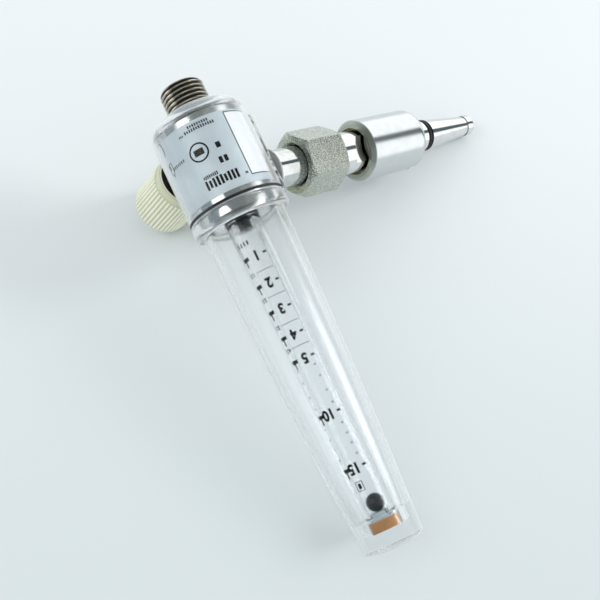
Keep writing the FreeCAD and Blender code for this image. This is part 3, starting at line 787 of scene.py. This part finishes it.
# painted falloff of the light across the table, along the depth away from the camera
depth = paint.node("VectorMath", {"operation": "DOT_PRODUCT"}, {0: paint.place(middle), 1: tuple(depthWay)},
                   out="Value")
paintedFalloff = paint.blend(paint.span(depth, -stage["span"], stage["span"]), stage["near"], stage["far"])
diffuse = paint.node("BsdfDiffuse", None, {"Color": paintedFalloff})
seen = paint.node("LightPath", out="Is Camera Ray")
behind = paint.node("NewGeometry", out="Backfacing")
through = paint.node("BsdfTransparent")
floorMesh.materials.append(paint.surface(paint.node("MixShader", None, {0: seen * behind, 1: diffuse, 2: through})))


# Light: a pale room. Polished metal sees two bright panels, beyond the object and to its right, with a dark
# gap between them, a dim ceiling and a grey left side; clear plastic also sees a dark band at the table's edge.

room = {
    "pale": rgb(233, 242, 245), "ambient": (0.76, 0.775, 0.785, 1.0), "panel": (1.5, 1.53, 1.53, 1.0),
    "side": (2.4, 2.45, 2.5, 1.0), "wall": rgb(164, 174, 176), "ceiling": rgb(138, 145, 145),
    "gap": rgb(96, 108, 112), "edge": rgb(150, 164, 172),
}
# degrees round the table, or heights, between which each band rises and falls
bands = {
    "far": ((28, 34), (110, 150)), "near": ((-100, -5), (12, 17)), "gap": ((12, 17), (28, 34)),
    "table": ((-125, -100), (-40, -15)), "left": (-150, -120),
    "leftHeight": (0.2, 0.4), "wallHeight": (0.62, 0.85), "edgeHeight": ((-0.4, -0.3), (0.3, 0.5)),
}
paint = Paint(bpy.data.worlds.new("room"))
bpy.context.scene.world = paint.owner
way = paint.node("TexCoord", out="Generated")


def towards(paint, direction):
    return paint.node("VectorMath", {"operation": "DOT_PRODUCT"}, {0: way, 1: tuple(direction)}, out="Value")


def stretch(paint, value, rise, fall):
    # 1 between the two pairs of limits, softly 0 outside them
    return paint.span(value, *rise) * (1 - paint.span(value, *fall))


def sector(name):
    # 1 inside that band of turns round the table
    return stretch(paint, turned, *np.radians(bands[name]).tolist())


height = towards(paint, skyWay)
turned = height.maths("ARCTAN2", towards(paint, depthWay), towards(paint, acrossWay))
low = 1 - paint.span(height, *bands["wallHeight"])
left = 1 - paint.span(turned, *np.radians(bands["left"]).tolist())
left = left * (1 - paint.span(height, *bands["leftHeight"]))
walls = paint.blend(low, room["ceiling"], room["wall"])
panels = paint.blend(low * (sector("far") + sector("near")), walls, room["panel"])
panels = paint.blend(left, panels, room["side"])
mirrored = paint.blend(low * sector("gap"), panels, room["gap"])
edge = stretch(paint, height, *bands["edgeHeight"]) * (1 - sector("table"))
refracted = paint.blend(edge, mirrored, room["edge"])
mirror = paint.node("LightPath", out="Is Glossy Ray")
through = paint.node("LightPath", out="Is Transmission Ray")
seen = paint.node("LightPath", out="Is Camera Ray")
colour = paint.blend(mirror, room["ambient"], mirrored)
colour = paint.blend(through, colour, refracted)
colour = paint.blend(seen, colour, room["pale"])
paint.node("OutputWorld", None, {"Surface": paint.node("Background", None, {"Color": colour})})

lamps = {
    "far": {"way": (0.45, 0.8, 1.0), "far": 0.7, "size": 0.9, "power": 0.25},
    "right": {"way": (0.98, 0.24, 0.62), "far": 1.2, "size": 0.42, "power": 4.8},
    "fill": {"way": (-0.9, -0.1, 0.8), "far": 0.8, "size": 0.5, "power": 1.2},
}
lampAim = Vector((0, tubeY, 40 * mm))
for name, lamp in lamps.items():
    light = bpy.data.lights.new(name, "AREA")
    light.shape, light.size, light.energy = "DISK", lamp["size"], lamp["power"]
    a, b, c = lamp["way"]
    aim = (acrossWay * a + depthWay * b + skyWay * c).normalized()
    holder = bpy.data.objects.new(name, light)
    bpy.context.scene.collection.objects.link(holder)
    holder.location = lampAim + aim * lamp["far"]
    holder.rotation_mode = "QUATERNION"
    holder.rotation_quaternion = aim.to_track_quat("Z", "Y")
    holder.visible_glossy = False          # metal sees the room's panels, not the lamps
bpy.context.scene.view_settings.view_transform = "Standard"
print("camera, table and lights set")
